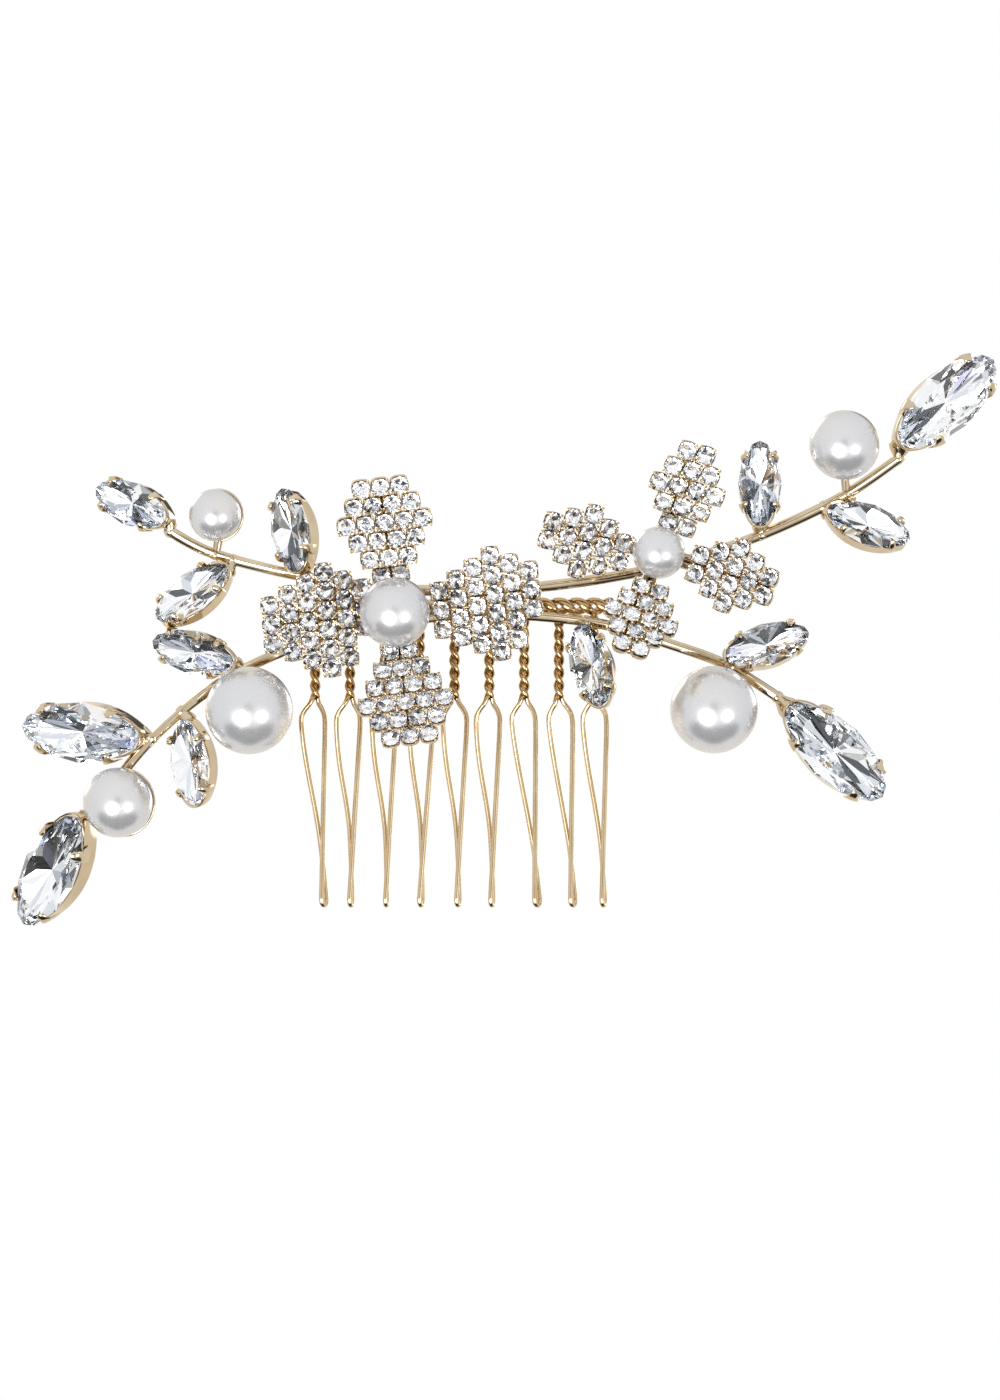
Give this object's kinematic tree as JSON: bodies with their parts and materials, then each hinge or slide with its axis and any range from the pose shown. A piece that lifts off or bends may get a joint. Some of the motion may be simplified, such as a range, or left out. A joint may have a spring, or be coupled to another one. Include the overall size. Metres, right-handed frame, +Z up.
{
  "type": "decorative hair comb",
  "caption": "Wire hair comb carrying two curved gold stems with marquise crystal leaves, faux pearls and two stone-set flowers.",
  "frame": {"origin": "middle of the comb's spine, on the centre line of its twisted wires", "axes": "+Z up, away from the teeth's tips; the jewelled front faces -Y and the head is on the +Y side; +X to the right seen from the front, along the spine"},
  "size_m": [0.1131, 0.0202, 0.066],
  "materials": {
    "gold_plate": "polished pale gold plate",
    "comb_wire": "bright gold-plated wire",
    "leaf_crystal": "clear faceted crystal with a foiled back",
    "flower_stone": "clear faceted round stone with a foiled back",
    "pearl": "white nacre lacquer"
  },
  "bodies": {
    "root": {"upper_stem": "gold_plate", "lower_stem": "gold_plate", "comb_spine": "comb_wire", "binding_wire": "comb_wire", "tooth_1": "comb_wire", "tooth_2": "comb_wire", "tooth_3": "comb_wire", "tooth_4": "comb_wire", "tooth_5": "comb_wire", "tooth_6": "comb_wire", "tooth_7": "comb_wire", "tooth_8": "comb_wire", "tooth_9": "comb_wire", "leaf_crystal_1": "leaf_crystal", "leaf_crystal_2": "leaf_crystal", "leaf_crystal_3": "leaf_crystal", "leaf_crystal_4": "leaf_crystal", "leaf_crystal_5": "leaf_crystal", "leaf_crystal_6": "leaf_crystal", "leaf_crystal_7": "leaf_crystal", "leaf_crystal_8": "leaf_crystal", "leaf_crystal_9": "leaf_crystal", "leaf_crystal_10": "leaf_crystal", "leaf_crystal_11": "leaf_crystal", "leaf_crystal_12": "leaf_crystal", "leaf_crystal_13": "leaf_crystal", "leaf_setting_1": "gold_plate", "leaf_setting_2": "gold_plate", "leaf_setting_3": "gold_plate", "leaf_setting_4": "gold_plate", "leaf_setting_5": "gold_plate", "leaf_setting_6": "gold_plate", "leaf_setting_7": "gold_plate", "leaf_setting_8": "gold_plate", "leaf_setting_9": "gold_plate", "leaf_setting_10": "gold_plate", "leaf_setting_11": "gold_plate", "leaf_setting_12": "gold_plate", "leaf_setting_13": "gold_plate", "pearl_1": "pearl", "pearl_2": "pearl", "pearl_3": "pearl", "pearl_4": "pearl", "pearl_5": "pearl", "pearl_6": "pearl", "pearl_7": "pearl", "small_pearl_cups": "gold_plate", "medium_pearl_cups": "gold_plate", "large_pearl_cups": "gold_plate", "main_petal_left": "gold_plate", "main_petal_right": "gold_plate", "main_petal_top": "gold_plate", "main_petal_bottom": "gold_plate", "small_petal_left": "gold_plate", "small_petal_right": "gold_plate", "small_petal_top": "gold_plate", "small_petal_bottom": "gold_plate", "main_flower_stones": "flower_stone", "small_flower_stones": "flower_stone"}
  },
  "joints": []
}
